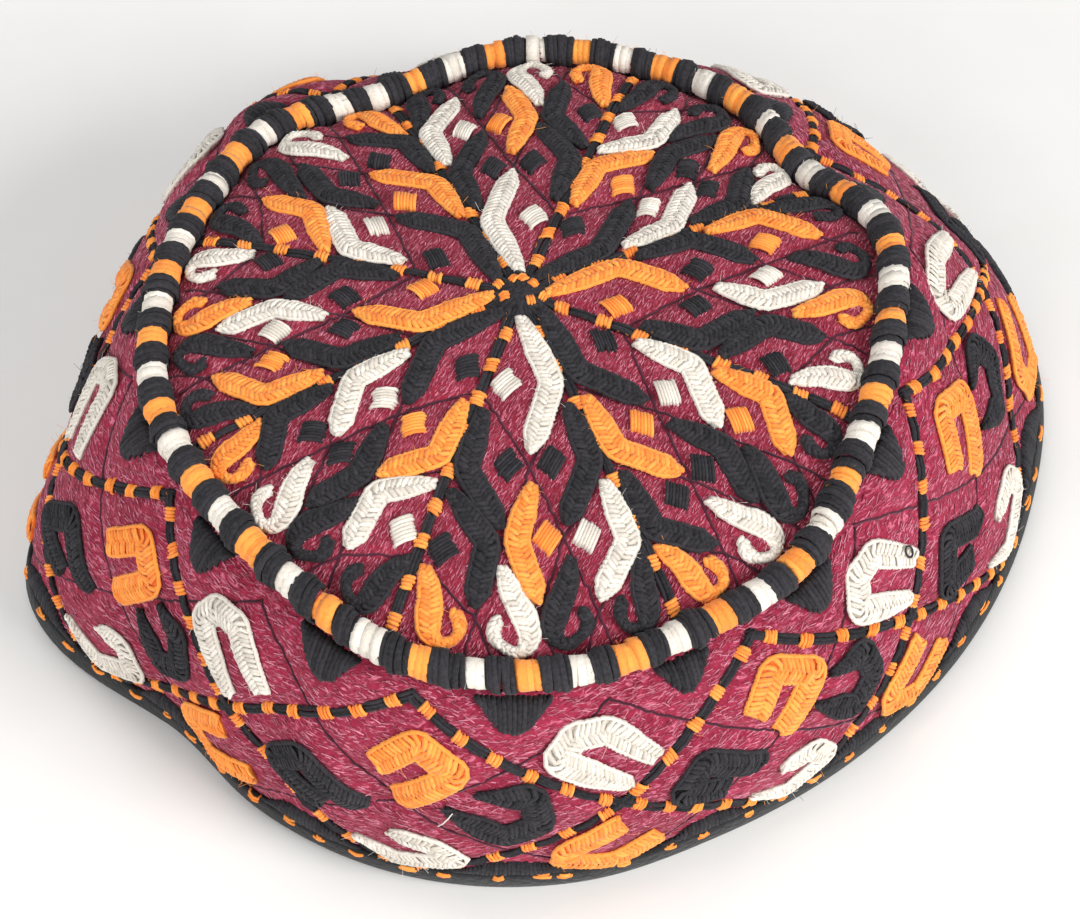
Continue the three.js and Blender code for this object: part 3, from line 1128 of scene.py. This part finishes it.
def hem_point(angles, shares):
    """A point of the binding, its section run through from 0 to 1."""
    spot = shares * (len(HEM_SECTION) - 1)
    inset, height = between(spot, np.arange(len(HEM_SECTION)), HEM_SECTION).T
    return turned(angles, wall_point(sections_at(angles), inset, height), height)


hem = shaped_grid("hem_binding_cloth", 360, len(HEM_SECTION) - 1, hem_point)
enlist(hem, HEM, "hem_binding")

hem_dashes = Stitches("hem_dashes", ORANGE, "wound_yarn")
DASHES = 70
dash_middles = np.arange(DASHES) * FULL_TURN / DASHES + jitter(DASHES, 0.5)
dash_heights = 5.5 + jitter(DASHES, 0.25)
for row in (0.3, -0.25):
    reach = np.array((-1.0, -0.8, 0.0, 0.8, 1.0)) * 0.75
    angles = dash_middles[:, None] + reach * (1 + jitter((DASHES, 1), 0.25))
    height = dash_heights[:, None] + row + jitter((DASHES, 5), 0.12)
    inset = np.array((0.6, -0.05, -0.2, -0.05, 0.6)) + np.maximum(height - 5.4, 0) * 0.6
    centres = turned(angles, wall_point(sections_at(angles), inset, height), height)
    hem_dashes.add(centres, outward_at(angles), 0.36, 0.28, 5)
hem_dashes.make()

# Ground strokes, sewn where no motif lies
tree = KDTree(len(covered))
for index, (point, _) in enumerate(covered):
    tree.insert(point, index)
tree.balance()


def free_of_motifs(point):
    """Whether a point lies on bare ground."""
    return all(distance > 0.9 * covered[index][1] for _, index, distance in tree.find_range(point, 2.6))


def ground_strokes(name, slot, points, normals, ways, longest):
    """Fine pale strokes of the ground, each a short straight thread."""
    strokes = Stitches(name, FLECKS, slot)
    keep = np.array([free_of_motifs(point) for point in points])
    points, normals, ways = points[keep], normals[keep], ways[keep]
    count = len(points)
    half = (longest * (0.4 + 0.6 * chance.random(count)))[:, None, None]
    reach = np.array((-1.0, 1.0))[None, :, None]
    centres = points[:, None] + ways[:, None] * half * reach
    strokes.add(centres, np.repeat(normals[:, None], 2, axis=1), 0.11, 0.07, 3, chance.random(count) ** 2)
    strokes.make()


# On the crown the strokes follow the cloth's weave in one direction
WEAVE_ROW = 0.62
WEAVE_STEP = 0.72
along_weave = np.array((np.cos(WEAVE_TURN), np.sin(WEAVE_TURN)))
rows, steps = np.meshgrid(np.arange(-68, 68, WEAVE_ROW), np.arange(-68, 68, WEAVE_STEP))
rows = rows + jitter(rows.shape, 0.15)
steps = steps + WEAVE_STEP * chance.random(steps.shape)
plan = steps[..., None] * along_weave + rows[..., None] * aside(along_weave)
plan = plan.reshape(-1, 2)
angles = np.degrees(np.arctan2(plan[:, 1], plan[:, 0]))
shares = np.hypot(plan[:, 0], plan[:, 1]) / sections_at(angles)[0]
angles, shares = angles[shares < 0.96], shares[shares < 0.96]
facing = crown.normal(angles, shares)
turn = WEAVE_TURN + jitter(len(angles), 0.2)
ways = np.stack((np.cos(turn), np.sin(turn), np.zeros_like(turn)), axis=-1)
ways = unit(ways - facing * np.sum(ways * facing, axis=1, keepdims=True))
ground_strokes("crown_ground_strokes", "crown_cloth", crown.place(angles, shares, 0.05), facing, ways, 0.62)

# On the band they run round it, scattered at random
STROKES_ON_BAND = 22000
angles = FULL_TURN * chance.random(STROKES_ON_BAND)
shares = 0.02 + 0.96 * chance.random(STROKES_ON_BAND)
facing = band.normal(angles, shares)
here = band.place(angles, shares, 0.05)
forward = unit(band.place(angles + 0.3, shares, 0.05) - here)
turn = jitter((STROKES_ON_BAND, 1), 0.35)
ways = forward * np.cos(turn) + np.cross(forward, facing) * np.sin(turn)
ground_strokes("band_ground_strokes", "band_cloth", here, facing, ways, 0.95)

# Camera at the photograph's angle
CAMERA_PLACE = Vector((-0.0638, -0.2283, 0.3426))
CAMERA_BACK = Vector((-0.14845, -0.55404, 0.81915))
SENSOR_WIDTH = 36
LENS = 73.39
eye = bpy.data.cameras.new("photo_camera")
eye.sensor_fit = "HORIZONTAL"
eye.sensor_width = SENSOR_WIDTH
eye.lens = LENS
camera = bpy.data.objects.new("photo_camera", eye)
camera.location = CAMERA_PLACE
camera.rotation_euler = CAMERA_BACK.to_track_quat("Z", "Y").to_euler()
bpy.context.collection.objects.link(camera)
bpy.context.scene.camera = camera

# Soft studio light: place, size, watts
LIGHTS = (
    ("key_light", (0.85, -0.8, 0.7), 0.6, 19.0),
    ("fill_light", (-0.85, -0.75, 0.6), 0.9, 11.0),
    ("top_light", (-0.1, 0.35, 1.1), 0.7, 4.5),
)
for name, place, size, watts in LIGHTS:
    lamp = bpy.data.lights.new(name, "AREA")
    lamp.size = size
    lamp.energy = watts
    light = bpy.data.objects.new(name, lamp)
    light.location = place
    light.rotation_euler = Vector(place).to_track_quat("Z", "Y").to_euler()
    bpy.context.collection.objects.link(light)
world = bpy.data.worlds.new("pale_room")
world.use_nodes = True
world.node_tree.nodes["Background"].inputs["Color"].default_value = (0.9, 0.93, 1.0, 1.0)
world.node_tree.nodes["Background"].inputs["Strength"].default_value = 0.3
bpy.context.scene.world = world
bpy.context.scene.view_settings.view_transform = "Standard"

# Pale floor
deselect()
bpy.ops.mesh.primitive_plane_add(size=6)
floor = bpy.context.active_object
floor.name = "pale_floor"
floor.data.materials.append(floor_finish())
